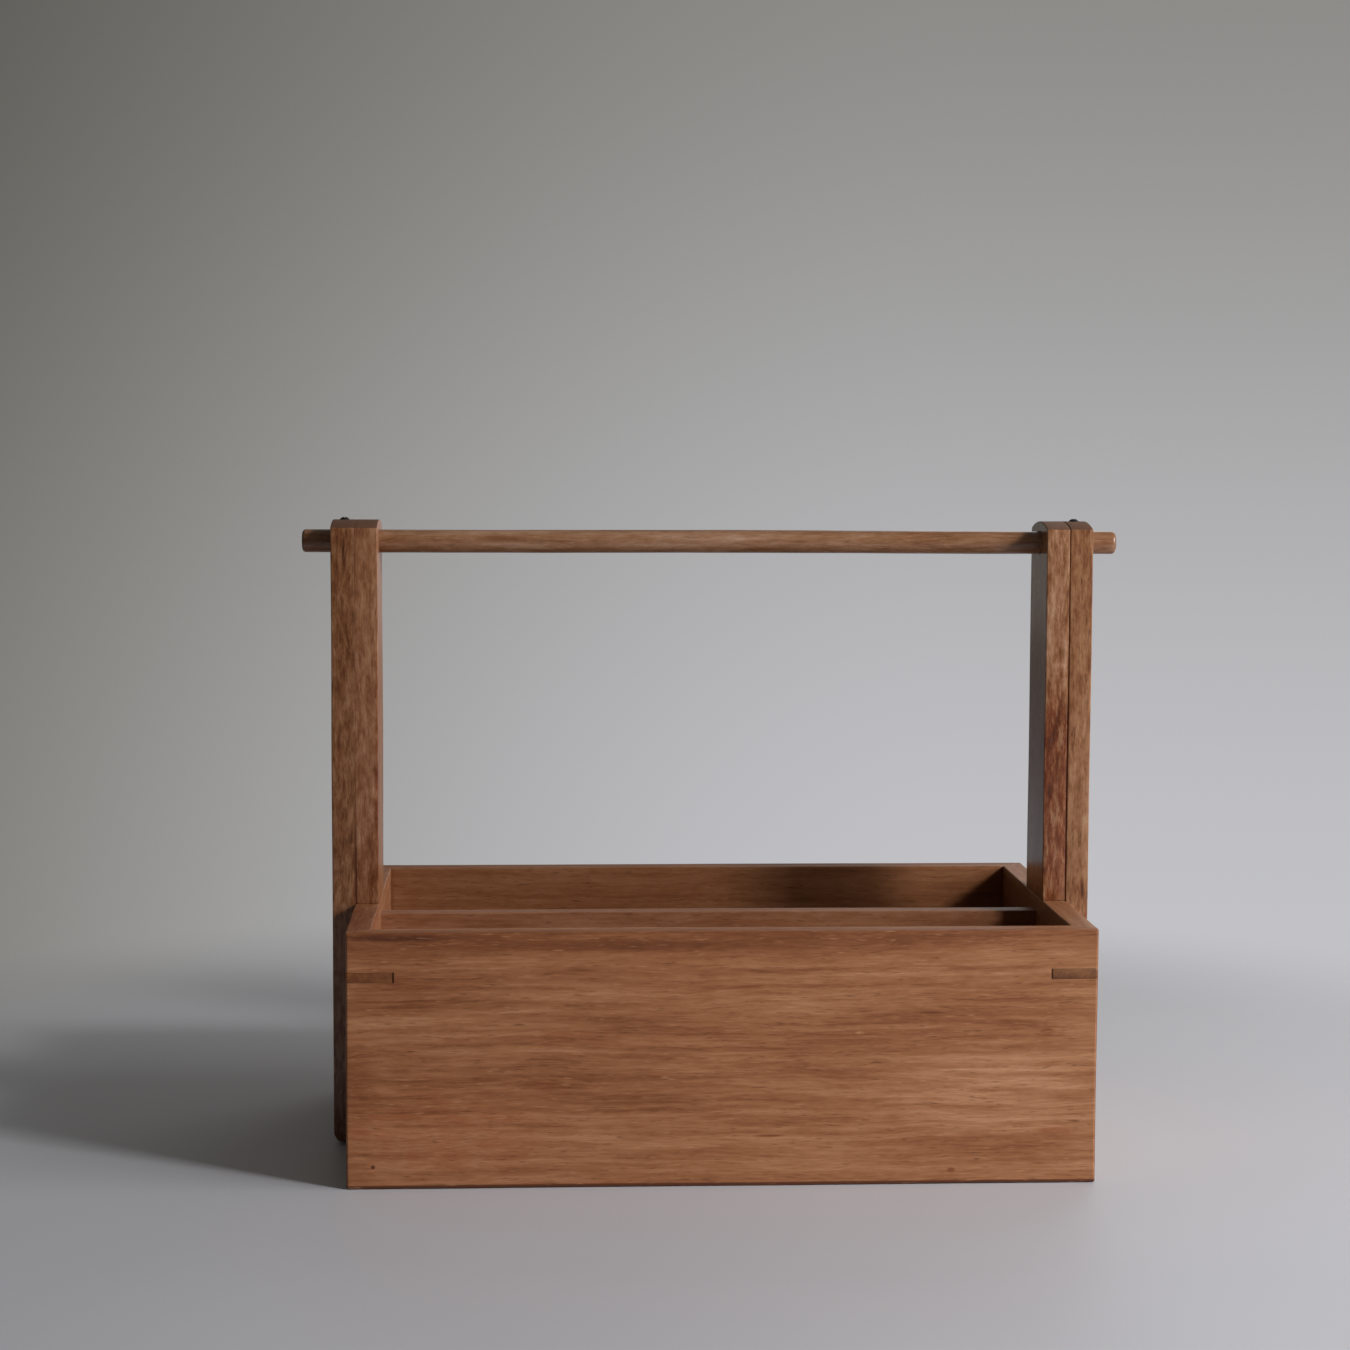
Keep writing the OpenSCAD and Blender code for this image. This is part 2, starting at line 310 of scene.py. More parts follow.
def wall_sheets(along, out, start):
    """Sheets of a wall of half length along, whose outer face is at distance out from the middle.

    With c = max(corner radius, depth) and rho = max(corner radius - depth, 0), a point on the arc at
    angle a is at (along - c + rho sin a, out - c + rho cos a), and the straight part ends at along - c."""
    steps = round(2 * along / station_gap)
    straight = np.linspace(-1, 1, steps + 1)
    arc = np.append(np.linspace(0, radians(41), 4), radians(45))
    turn = np.concatenate([-arc[::-1], 0 * straight, arc])
    share = np.concatenate([-np.ones(len(arc)), straight, np.ones(len(arc))])
    uneven = 0.22 * (1 - share**6) * (np.sin(share * 7 + start) + 0.6 * np.sin(share * 17 - start))
    levels = np.linspace(2.2 * MM, box_h - 2.2 * MM, round(box_h / level_gap))
    outer, inner = eased_rows(wall_t, box_h, foot_r * (1 - uneven), edge_r * (1 + uneven), levels)
    loop = section_loop(outer, inner)
    bend = np.repeat(turn[:, None], loop.shape[1], 1)
    depth = loop[..., 0]
    on_arc = np.zeros_like(bend, bool)
    on_arc[: len(arc)] = True
    on_arc[-len(arc) :] = True
    at_joint = on_arc & ((depth > corner_r) | (np.abs(bend) > radians(44)))
    tangent = np.roll(loop, -1, axis=1) - np.roll(loop, 1, axis=1)
    tangent /= np.linalg.norm(tangent, axis=-1, keepdims=True)
    inward = np.stack([tangent[..., 1], -tangent[..., 0]], -1)
    loop = loop + inward * joint_gap * at_joint[..., None]

    def carried(points, bend, share, on_arc):
        depth, place = points[..., 0], points[..., 1]
        c = np.maximum(corner_r, depth)
        rho = np.maximum(corner_r - depth, 0)
        flat_end = (along - c - joint_gap) * share
        u = np.where(on_arc, np.sign(bend + share) * (along - c) + rho * np.sin(bend), flat_end)
        v = out - c + rho * np.cos(bend)
        return np.stack([u, -v, place], -1)

    share_grid = np.repeat(share[:, None], loop.shape[1], 1)
    sides = sheet(carried(loop, bend, share_grid, on_arc), round_second=True)
    rows = outer.shape[1]
    caps = []
    for end in (0, -1):
        outer_end = loop[end, :rows]
        inner_end = loop[end, rows + flat_steps - 1 : 2 * rows + flat_steps - 1][::-1]
        grid = across(outer_end, inner_end)
        grid[-1, 1:-1] = loop[end, rows : rows + flat_steps - 1]
        grid[0, 1:-1] = loop[end, 2 * rows + flat_steps - 1 :][::-1]
        side = np.full(grid.shape[:2], arc[-1] * (1 if end else -1))
        caps.append(sheet(carried(grid, side, np.sign(side), np.ones_like(side, bool))))
    return [sides] + caps


def quarter_turns(sheets, turns):
    """The sheets turned about the upright axis by a number of quarter turns."""
    c, s = round(cos(turns * pi / 2)), round(sin(turns * pi / 2))
    turned = np.array([[c, -s, 0], [s, c, 0], [0, 0, 1]])
    return [(points @ turned.T, faces) for points, faces in sheets]


# %% [markdown]
# ### What is cut into the walls
#
# Round the inside runs a groove for the base panel. Each end wall has a stopped housing for the divider and
# two countersunk holes for the screws of the upright. Across each corner a slot takes the key. The tools are
# a little larger than what they hold, so a thin dark line stays round each piece.

# %% Tools for the walls
past = 3 * MM
groove_depth = 5 * MM
fit_gap = 0.12 * MM
base_low, base_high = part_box("base_panel")
div_low, div_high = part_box("divider")
screw_low, screw_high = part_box("right_lap_screws")
lap_head_r = 3.5 * MM
lap_shank_r = 1.75 * MM
lap_y = screw_high.y - lap_head_r
lap_z = (screw_low.z + screw_high.z) / 2


def groove_tool():
    reach = (half_l - wall_t + groove_depth, half_w - wall_t + groove_depth)
    return block((-reach[0], -reach[1], base_low.z - fit_gap), (reach[0], reach[1], base_high.z + fit_gap))


def housing_tool():
    low = (div_low.x - fit_gap, div_low.y - fit_gap, base_high.z - past)
    high = (div_high.x + fit_gap, div_high.y + fit_gap, div_high.z + fit_gap)
    return block(low, high)


def key_tools(grow):
    """Slots across the four corners, larger than the keys by grow."""
    tools = []
    for turns in range(4):
        reach = (half_l, half_w) if turns % 2 == 0 else (half_w, half_l)
        leg = key_leg + past + grow
        outline = np.array([(past, past), (-leg, past), (past, -leg)]) + reach
        tool = prism(outline, key_low.z - grow, key_high.z + grow)
        tools += quarter_turns(tool, turns)
    return tools


def countersinks(side, loose):
    """Drills for the two lap screws at the end on that side: a cone that narrows to the shank's bore."""
    tip = half_l + 8.5 * MM
    head = lap_head_r + loose
    shank = lap_shank_r + loose
    start = half_l - wall_t
    profile = np.array([
        (start - past, 0), (start - past, head + past),
        (start + lap_head_r - lap_shank_r, shank), (tip, shank), (tip, 0),
    ])
    profile[:, 0] *= side
    return [around(profile, (0, y, lap_z), axis="x", steps=32) for y in (-lap_y, lap_y)]


# %% Make the walls
long_wall = wall_sheets(half_l, half_w, start=0.4)
end_wall = wall_sheets(half_w, half_l, start=2.1)
walls = {}
for name, sheets, turns in (
    ("front_wall", long_wall, 0), ("right_wall", end_wall, 1),
    ("back_wall", long_wall, 2), ("left_wall", end_wall, 3),
):
    wall = solid("dressed_" + name, quarter_turns(sheets, turns))
    if turns % 2:
        cut(wall, housing_tool() + countersinks(2 - turns, 0.05 * MM))
    cut(wall, groove_tool() + key_tools(fit_gap))
    walls[name] = finish_piece(wall, "wall_wood", name)

# %% [markdown]
# ## Base panel and divider
#
# Both are plain boards with straight ends, so the same section is carried along a straight line. The
# divider stands on the panel and its top edges are eased like the rim.

# %% Straight boards
def straight_board(half, thick, height, r_low, r_high, start):
    """Sheets of a board along the first axis: depth along the second and height along the third."""
    share = np.linspace(-1, 1, round(2 * half / station_gap) + 1)
    uneven = 0.2 * np.sin(share * 9 + start) + 0.12 * np.sin(share * 23 - start)
    levels = np.linspace(1.8 * r_high, height - 1.8 * r_high, round(height / level_gap))
    outer, inner = eased_rows(thick, height, r_low * (1 + uneven), r_high * (1 + uneven), levels)
    place = np.repeat(share[:, None] * half, section_loop(outer, inner).shape[1], 1)
    sides = np.concatenate([place[..., None], section_loop(outer, inner)], -1)
    sheets = [sheet(sides, round_second=True)]
    for end in (0, -1):
        grid = across(outer[end], inner[end])
        sheets.append(sheet(np.concatenate([np.full(grid.shape[:2] + (1,), share[end] * half), grid], -1)))
    return sheets


def moved(sheets, origin, axes=(0, 1, 2)):
    """The sheets with their axes reordered, then carried to origin."""
    return [(points[:, axes] + np.asarray(origin), faces) for points, faces in sheets]


div_t = div_high.y - div_low.y
divider_sheets = straight_board(div_high.x, div_t, div_high.z - div_low.z, arris_r, edge_r, start=1.3)
divider = solid("dressed_divider", moved(divider_sheets, (0, div_low.y, div_low.z)))
finish_piece(divider, "inside_wood", "divider")

base_t = base_high.z - base_low.z
base_sheets = straight_board(base_high.x, base_t, base_high.y - base_low.y, arris_r, arris_r, start=0.2)
base = solid("dressed_base_panel", moved(base_sheets, (0, base_low.y, base_low.z), (0, 2, 1)))
finish_piece(base, "inside_wood", "base_panel")

# %% [markdown]
# ## Corner keys
#
# A key is a thin slip of darker wood glued into the slot and cut off flush. Its outline follows the round
# corner of the box, and it ends a little short of the slot's inner end. A small bevel on its long edges
# catches the light like a real slip that was trimmed with a chisel.

# %% Make the keys
key_short = 0.7 * MM


def key_outline():
    """Half the corner's outline in plan: along one face, round the arc, along the other face."""
    leg = key_leg - key_short
    arc = np.linspace(-pi / 2, 0, 7)
    turn = np.column_stack([np.cos(arc), np.sin(arc)]) * corner_r + (half_l - corner_r, corner_r - half_w)
    return np.vstack([[half_l - leg, -half_w], turn, [half_l, leg - half_w]])


for name, mirror_x, mirror_y in (
    ("key_front_right", 1, 1), ("key_front_left", -1, 1),
    ("key_back_right", 1, -1), ("key_back_left", -1, -1),
):
    outline = key_outline() * (mirror_x, mirror_y)
    key = solid("dressed_" + name, prism(outline, key_low.z, key_high.z))
    trim = key.modifiers.new("trim", "BEVEL")
    trim.width = 0.1 * MM
    trim.segments = 1
    trim.angle_limit = radians(40)
    trimmed = bpy.data.meshes.new_from_object(key.evaluated_get(bpy.context.evaluated_depsgraph_get()))
    key.modifiers.clear()
    key.data = trimmed
    finish_piece(key, "key_wood", name)

# %% [markdown]
# ## Uprights
#
# Each upright is two boards glued face to face. The inner one stands on the end wall, and the outer one
# runs down over it almost to the floor. Their tops are cut to a shallow crown, and all edges are eased.
#
# The outline of a board is four curves: bottom, right, top and left. Its corners are arcs, and the crown is
# one large arc, so the outline moved inwards by any distance is again made of arcs about the same centres.
# The eased edge is a stack of such outlines, and each face is a sheet stretched between the four curves.

# %% Outline of an upright
crown_rise = 3.7 * MM
post_corner_r = 1.1 * MM
post_edge_r = 0.5 * MM
in_low, in_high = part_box("right_upright_inner")
out_low, out_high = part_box("right_upright_outer")
post_half = out_high.y
crown_r = (post_half**2 + crown_rise**2) / (2 * crown_rise)
crown_z = out_high.z - crown_r
corner_z = crown_z + sqrt((crown_r - post_corner_r) ** 2 - (post_half - post_corner_r) ** 2)
crown_end = np.arctan2(corner_z - crown_z, post_half - post_corner_r)


def arc_points(centre, radius, start, end, steps, squat=1.0):
    """Points on an arc: centre + radius (cos a, squat sin a), a from start to end."""
    a = np.linspace(start, end, steps + 1)
    return np.column_stack([np.cos(a), squat * np.sin(a)]) * radius + centre


def post_outline(bottom, inset, squat):
    """Bottom, right, top and left curve of the outline, moved inwards by inset."""
    side = post_half - post_corner_r
    low = (side, bottom + squat * post_corner_r)
    r = post_corner_r - inset
    right = np.vstack([
        arc_points(low, r, -pi / 4, 0, 3, squat),
        np.column_stack([
            np.full(rows_of(bottom) - 1, post_half - inset),
            np.linspace(low[1], corner_z, rows_of(bottom) + 1)[1:-1],
        ]),
        arc_points((side, corner_z), r, 0, crown_end / 2, 3),
    ])
    crown = arc_points((0, crown_z), crown_r - inset, pi - crown_end, crown_end, post_columns)
    top_right = arc_points((side, corner_z), r, crown_end, crown_end / 2, 3)
    top = np.vstack([top_right[::-1] * (-1, 1), crown[1:-1], top_right])
    low_right = arc_points(low, r, -pi / 2, -pi / 4, 3, squat)
    flat = np.linspace(-side, side, post_columns + 1)[1:-1]
    level = np.full(len(flat), low_right[0, 1])
    base_line = np.vstack([low_right[::-1] * (-1, 1), np.column_stack([flat, level]), low_right])
    return base_line, right, top, right * (-1, 1)


post_columns = 18


def rows_of(bottom):
    return round((corner_z - bottom) / level_gap)


# %% [markdown]
# A sheet between four curves is the classic patch: the sheet between bottom and top, plus the sheet between
# left and right, less the plain sheet between the four corners that was counted twice. Heights far below
# the crown should not feel its curve, so the share of the top curve only starts near the top.

# %% A face between four curves
def stretched(bottom, right, top, left):
    """Point i, j = (1 - v) bottom + v top + (1 - u) left + u right - the corners' share."""
    height = right[:, 1]
    v = np.clip((height - height[-1] + 20 * MM) / (20 * MM), 0, 1)[:, None, None]
    u = ((bottom[:, 0] - bottom[0, 0]) / (bottom[-1, 0] - bottom[0, 0]))[None, :, None]
    across_rows = (1 - v) * bottom[None] + v * top[None]
    across_columns = (1 - u) * left[:, None] + u * right[:, None]
    corners = (1 - v) * ((1 - u) * bottom[0] + u * bottom[-1]) + v * ((1 - u) * top[0] + u * top[-1])
    return across_rows + across_columns - corners


def post_sheets(thick, bottom, r_in, r_out, squat):
    """Sheets of one board of an upright: depth from the seam's side on the first axis."""
    a = np.linspace(0, pi / 2, ease_steps + 1)
    inset = np.concatenate([r_in * (1 - np.sin(a)), np.zeros(3), r_out * (1 - np.cos(a))])
    flats = np.linspace(r_in, thick - r_out, 5)[1:-1]
    depth = np.concatenate([r_in * (1 - np.cos(a)), flats, thick - r_out * (1 - np.sin(a))])
    rings = []
    faces = []
    for number, (d, t) in enumerate(zip(inset, depth)):
        base_line, right, top, left = post_outline(bottom, d, squat)
        ring = np.vstack([base_line[:-1], right[:-1], top[::-1][:-1], left[::-1][:-1]])
        rings.append(np.column_stack([np.full(len(ring), t), ring]))
        if number in (0, len(depth) - 1):
            face = stretched(base_line, right, top, left)
            faces.append(sheet(np.concatenate([np.full(face.shape[:2] + (1,), t), face], -1)))
    return [sheet(np.stack(rings), round_second=True)] + faces


# %% [markdown]
# The outer board's foot is rounded off on the outside with a radius of 5 mm, so that it does not splinter
# when the tote is set down. The rod goes through both boards, and a screw goes down through the crown of the
# outer one into the rod.

# %% Make the uprights
foot_r = 5 * MM
seam_radii = {"left": 0.2 * MM, "right": 0.8 * MM}
rod_fit = 0.1 * MM
bore_ease = 0.3 * MM
rod_screw_low, rod_screw_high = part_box("right_rod_screw")
screw_x = (rod_screw_low.x + rod_screw_high.x) / 2
head_r = (rod_screw_high.x - rod_screw_low.x) / 2
seat_z = out_high.z - 0.3 * MM
rod_shank_r = 1.5 * MM


def foot_rounded(points, bottom, thick):
    """Depths are scaled below the foot's radius: full depth becomes thick - r + sqrt(r^2 - (r - h)^2)."""
    lift = np.clip(points[:, 2] - bottom, 0, foot_r)
    room = thick - foot_r + np.sqrt(foot_r**2 - (foot_r - lift) ** 2)
    return np.column_stack([points[:, 0] * room / thick, points[:, 1:]])


def rod_bore(start, end):
    """Tool for the rod's hole from start to end, flared by bore_ease at both faces."""
    r = rod_r + rod_fit
    profile = [
        (start - past, 0), (start - past, r + bore_ease + past), (start + bore_ease, r),
        (end - bore_ease, r), (end + past, r + bore_ease + past), (end + past, 0),
    ]
    return around(profile, (0, 0, rod_z), axis="x", steps=48)


def rod_screw_tool(side):
    """Tool for the seat of the round head and the bore of its shank."""
    loose = 0.05 * MM
    foot = rod_screw_low.z - 0.5 * MM
    profile = [
        (foot, 0), (foot, rod_shank_r + loose), (seat_z, rod_shank_r + loose),
        (seat_z, head_r + loose), (out_high.z + past, head_r + loose), (out_high.z + past, 0),
    ]
    return around(profile, (side * screw_x, 0, 0), steps=32)


uprights = {}
for side, word in ((-1, "left"), (1, "right")):
    seam_r = seam_radii[word]
    for board, low, high, r_in, r_out, squat in (
        ("inner", in_low, in_high, post_edge_r, seam_r, 0.2),
        ("outer", out_low, out_high, seam_r, post_edge_r, 1.0),
    ):
        thick = high.x - low.x
        points_and_faces = post_sheets(thick, low.z, r_in, r_out, squat)
        if board == "outer":
            points_and_faces = [(foot_rounded(p, low.z, thick), f) for p, f in points_and_faces]
        placed = moved(points_and_faces, (low.x, 0, 0))
        placed = [(p * (side, 1, 1), f) for p, f in placed]
        node = f"{word}_upright_{board}"
        post = solid("dressed_" + node, placed)
        ends = sorted((side * low.x, side * high.x))
        tools = [rod_bore(*ends)]
        if board == "outer":
            tools += countersinks(side, 0.05 * MM)
        cut(post, tools)
        if board == "outer":
            cut(post, [rod_screw_tool(side)])
        uprights[node] = finish_piece(post, "upright_wood", node)

# %% [markdown]
# ## Rod and screws
#
# The rod is a turned stick with rounded ends. Its radius wanders by a few hundredths of a millimetre, as on
# any dowel. The screws are turned shapes with a cross recess cut into the head.

# %% Make the rod
rod_end_r = 2 * MM
rod_half = rod_high.x
a = np.linspace(0, pi / 2, 7)
straight = np.linspace(-rod_half + rod_end_r, rod_half - rod_end_r, 171)
end_place = rod_half - rod_end_r + rod_end_r * np.cos(a)
end_radius = rod_r - rod_end_r + rod_end_r * np.sin(a)
place = np.concatenate([[-rod_half], -end_place, straight[1:-1], end_place[::-1], [rod_half]])
radius = np.concatenate([[0], end_radius, np.full(169, rod_r), end_radius[::-1], [0]])
radius = radius * (1 + 0.005 * np.sin(place * 61) + 0.004 * np.sin(place * 137 + 1))
rod = solid("dressed_handle_rod", [around(np.column_stack([place, radius]), (0, 0, rod_z), "x", 56)])
cut(rod, [rod_screw_tool(-1), rod_screw_tool(1)])
finish_piece(rod, "rod_wood", "handle_rod")

# %% Make the screws
cross_w = 0.8 * MM
cross_l = 3 * MM
cross_d = 0.9 * MM
point_h = 2 * MM
head_h = 1.7 * MM


def cross_tools(centre, axis):
    """Two crossed blocks that reach cross_d into the head, whose top is at centre."""
    tools = []
    for long, narrow in ((cross_l, cross_w), (cross_w, cross_l)):
        reach = np.array([cross_d, long / 2, narrow / 2])
        reach = reach if axis == "x" else reach[[1, 2, 0]]
        tools += block(np.asarray(centre) - reach, np.asarray(centre) + reach)
    return tools


for side, word in ((-1, "left"), (1, "right")):
    dome_r = (head_r**2 + head_h**2) / (2 * head_h)
    rise = np.linspace(0, np.arcsin(head_r / dome_r), 10)
    dome = np.column_stack([seat_z + head_h - dome_r + dome_r * np.cos(rise), dome_r * np.sin(rise)])
    shank = [
        (seat_z, rod_shank_r), (rod_screw_low.z + point_h, rod_shank_r),
        (rod_screw_low.z, rod_shank_r / 4), (rod_screw_low.z, 0),
    ]
    centre = (side * screw_x, 0, 0)
    screw = solid(f"dressed_{word}_rod_screw", [around(np.vstack([dome, shank]), centre, steps=36)])
    for tool in (0, 1):
        crossed = cross_tools((side * screw_x, 0, seat_z + head_h), "z")
        cut(screw, crossed[6 * tool : 6 * tool + 6])
    finish_piece(screw, "screw_steel", f"{word}_rod_screw", sharp=50)

# %% [markdown]
# ## Shader maths
#
# A material is a net of nodes, but sums read better as sums. `Signal` wraps one socket: adding or
# multiplying signals adds the Math nodes for it. Its method `node` makes any other kind of node.

# %% Signals
class Signal:
    """A socket of a material's node tree that can be used in sums and products."""

    def __init__(self, socket):
        self.socket = socket

    def node(self, kind, settings=(), inputs=(), output=0):
        """Adds a node of that kind to the tree: its settings first, then values or links of its inputs."""
        tree = self.socket.id_data
        made = tree.nodes.new(kind)
        for key, value in dict(settings).items():
            if key == "stops":
                ramp = made.color_ramp.elements
                while len(ramp) < len(value):
                    ramp.new(1)
                for element, (position, colour) in zip(ramp, value):
                    element.position = position
                    element.color = (*colour, 1)
            else:
                setattr(made, key, value)
        for key, value in dict(inputs).items():
            if isinstance(value, Signal):
                tree.links.new(value.socket, made.inputs[key])
            else:
                made.inputs[key].default_value = value
        return Signal(made.outputs[output])

    def maths(self, operation, *values):
        return self.node("ShaderNodeMath", {"operation": operation}, enumerate(values))

    def __add__(self, other):
        return self.maths("ADD", self, other)

    def __sub__(self, other):
        return self.maths("SUBTRACT", self, other)

    def __rsub__(self, other):
        return self.maths("SUBTRACT", other, self)

    def __mul__(self, other):
        return self.maths("MULTIPLY", self, other)

    def step(self, low, high):
        """0 below low, 1 above high and a smooth step between."""
        settings = {"interpolation_type": "SMOOTHSTEP"}
        return self.node("ShaderNodeMapRange", settings, {"Value": self, "From Min": low, "From Max": high})

    def mixed(self, first, second, blend="MIX"):
        """Colour first where this signal is 0 and colour second where it is 1."""
        settings = {"data_type": "RGBA", "blend_type": blend}
        return self.node("ShaderNodeMix", settings, {0: self, 6: first, 7: second}, output=2)

    __radd__ = __add__
    __rmul__ = __mul__


def start_material(name):
    """A new material: its place signal in Object coordinates, and its Principled shader node."""
    material = bpy.data.materials.new(name)
    material.use_nodes = True
    nodes = material.node_tree.nodes
    shader = nodes["Principled BSDF"]
    place = Signal(nodes.new("ShaderNodeTexCoord").outputs["Object"])
    return material, place, shader


def feed(shader, **signals):
    """Links signals to the shader's sockets; Base_Color stands for the socket Base Color."""
    tree = shader.id_data
    for name, signal in signals.items():
        tree.links.new(signal.socket, shader.inputs[name.replace("_", " ")])


# %% [markdown]
# ## The wood
#
# The colour is worked out inside a solid block, as a tree grows it, so that a board shows the right figure
# on every face: long streaks on its sides, arcs and dots on its ends. Years are shells round a pith line
# that wanders. Pores are short dark dashes along the grain. Broad clouds make one end of a board darker.
#
# All sizes are lengths along and across the grain, in metres.

# %% Streaks and years
def streaks(place, length, width, seed, detail=2.0, rough=0.5, output=0):
    """Noise stretched along the grain: its blobs are about length long and width thick.

    Output 0 is one number and output 1 is three, as a vector."""
    inputs = {
        "Vector": place,
        "Scale": (1 / length, 1 / width, 1 / width),
        "Location": (seed * 7.31, seed * 3.17, seed * 5.79),
    }
    stretched_place = place.node("ShaderNodeMapping", {"vector_type": "POINT"}, inputs)
    noise = {"Vector": stretched_place, "Scale": 1.0, "Detail": detail, "Roughness": rough}
    return place.node("ShaderNodeTexNoise", {}, noise, output)


def wavy(place, size, seed):
    """The place moved across the grain by slow noise, which makes the grain wander."""
    noise = streaks(place, 0.060, 0.030, seed, detail=1.0, output=1)
    settings = {"operation": "MULTIPLY_ADD"}
    move = place.node("ShaderNodeVectorMath", settings, {0: noise, 1: (0, size, size), 2: (0, -size / 2, -size / 2)})
    return place.node("ShaderNodeVectorMath", {"operation": "ADD"}, {0: place, 1: move})


def years(place, pith, width, taper, seed):
    """Late wood of each year, 0 to 1: it darkens slowly and ends at once.

    Distance from the wandering pith line, less a taper along the tree, over the width of a year
    counts the years. Each year has its own strength."""
    apart = place.node("ShaderNodeSeparateXYZ", {}, {"Vector": place}).socket.node.outputs
    drift = streaks(place, 0.150, 0.060, seed + 1, detail=1.0) - 0.5
    sway = streaks(place, 0.050, 0.010, seed + 2, detail=2.0) - 0.5
    y = Signal(apart["Y"]) - pith[0] + drift * 0.022
    z = Signal(apart["Z"]) - pith[1] + drift * 0.016
    far = (y * y + z * z).maths("SQRT", y * y + z * z)
    count = (far - Signal(apart["X"]) * taper) * (1 / width) + sway * 1.1
    year = count.maths("FLOOR", count)
    phase = count - year
    strength = count.node("ShaderNodeTexWhiteNoise", {"noise_dimensions": "1D"}, {"W": year})
    late = phase.step(0.30, 0.90) * (1 - phase.step(0.94, 1.0))
    return late * (0.25 + 0.75 * strength)


def spot(place, centre, radii):
    """1 in the middle of an ellipsoid and 0 outside it; centre and radii are in millimetres."""
    inputs = {"Vector": place, "Location": np.array(centre) * MM, "Scale": np.array(radii) * MM}
    inside = place.node("ShaderNodeMapping", {"vector_type": "TEXTURE"}, inputs)
    length = place.node("ShaderNodeVectorMath", {"operation": "LENGTH"}, {0: inside}, 1)
    return 1 - length.step(0.25, 1.0)


# %% [markdown]
# The figure is a sum of these, pushed through a ramp of five browns. A board's stain then multiplies the
# ramp's colours, because no two boards take oil alike; the rod's bluer stain is partly painted sheen. Spots
# are places that were seen on one board only: a knot, a dark streak, a paler patch (partly painted sheen),
# a flush of red. Some spots are painted light: painted contact shadow along the foot of every wall, and
# painted shade widening the glue line down the seam of each upright.

# %% Oiled open-grained wood
browns = (
    (0.00, (0.075, 0.020, 0.005)),
    (0.30, (0.155, 0.049, 0.015)),
    (0.55, (0.250, 0.100, 0.041)),
    (0.80, (0.345, 0.164, 0.083)),
    (1.00, (0.430, 0.232, 0.134)),
)
blush = (0.98, 0.70, 0.56, 1)
pore_brown = np.array([0.088, 0.028, 0.007])
fleck_brown = np.array([0.40, 0.195, 0.100])
end_brown = np.array([0.088, 0.034, 0.016])


def wood(
    name, turn, middle, seed, pith=(0.05, 0.02), year=3.2 * MM, taper=0.0,
    stain=(1, 1, 1), tone=0.0, contrast=1.0, mottle=0.2, patch=20 * MM, wander=4 * MM, gloss=0.0,
    open_grain=0.65, planed=1.0, fibre=0.45, worn_top=0.0, spots=(),
):
    """An oiled wood whose grain runs along the first axis after the turn about middle."""
    material, free, shader = start_material(name)
    turned = Matrix.Rotation(turn[1], 3, "Y") if turn[1] else Matrix.Rotation(turn[2], 3, "Z")
    inputs = {"Vector": free, "Rotation": turn, "Location": -(turned @ middle)}
    place = wavy(free.node("ShaderNodeMapping", {"vector_type": "POINT"}, inputs), wander, seed + 8)
    late = years(place, pith, year, taper, seed)
    broad = streaks(place, 0.210, 0.026, seed + 3) - 0.5
    bands = streaks(place, 0.090, 0.0046, seed + 4, detail=2.0, rough=0.5) - 0.5
    fibres = streaks(place, 0.012, 0.0009, seed + 5, detail=3.0, rough=0.6) - 0.5
    patches = streaks(place, patch, patch * 0.26, seed + 9, detail=5.0, rough=0.75) - 0.5
    pores = streaks(place, 0.0070, 0.00075, seed + 6, detail=1.0).step(0.60, 0.80)
    flecks = streaks(place, 0.0080, 0.00090, seed + 7, detail=1.0).step(0.62, 0.82)
    figure = broad * 0.55 + bands * 0.65 - late * 0.09
    normal = place.node("ShaderNodeNewGeometry", output=1)
    looks = normal.node("ShaderNodeSeparateXYZ", {}, {"Vector": normal}).socket.node.outputs
    sawn = Signal(looks["Y"]).maths("ABSOLUTE", Signal(looks["Y"])).step(0.2, 0.9) * (1 - planed) + planed
    light = (figure + fibres * fibre) * contrast + patches * sawn * mottle + (0.59 + tone)
    ragged = 1.0 + bands * 3.0
    flamed = ragged - patches * 9.0
    red = None
    for centre, radii, amount, redness in spots:
        mask = spot(free, centre, radii)
        light = light + mask * ragged * amount
        if redness:
            flush = mask * flamed * redness
            red = flush if red is None else red + flush
    stain = np.array(stain)
    stops = [(share, tuple(np.array(brown) * stain)) for share, brown in browns]
    colour = light.node("ShaderNodeValToRGB", {"stops": stops}, {"Fac": light})
    if red is not None:
        colour = red.mixed(colour, blush, blend="MULTIPLY")
    colour = (flecks * (open_grain * 0.8)).mixed(colour, (*(fleck_brown * stain), 1))
    colour = (pores * open_grain).mixed(colour, (*(pore_brown * stain), 1))
    axis = turned.transposed().col[0]
    along = place.node("ShaderNodeVectorMath", {"operation": "DOT_PRODUCT"}, {0: normal, 1: axis}, 1)
    ends = along.maths("ABSOLUTE", along).step(0.35, 0.95)
    colour = (ends * 0.74).mixed(colour, (*end_brown, 1))
    height = fibres * 0.8 - late * 0.25 - pores * 1.0
    bump = height.node("ShaderNodeBump", {}, {"Strength": 0.30, "Distance": 0.00020, "Height": height})
    worn = Signal(looks["Z"]).step(0.5, 1.0) * worn_top
    shine = 0.44 - gloss - light * 0.10 + pores * 0.12 + ends * 0.52 + worn
    feed(shader, Base_Color=colour, Roughness=shine, Normal=bump)
    shader.inputs["IOR"].default_value = 1.48
    return material


# %% [markdown]
# ## Blackened steel
#
# The screws are dark, with a dull shine where the coating is thin.

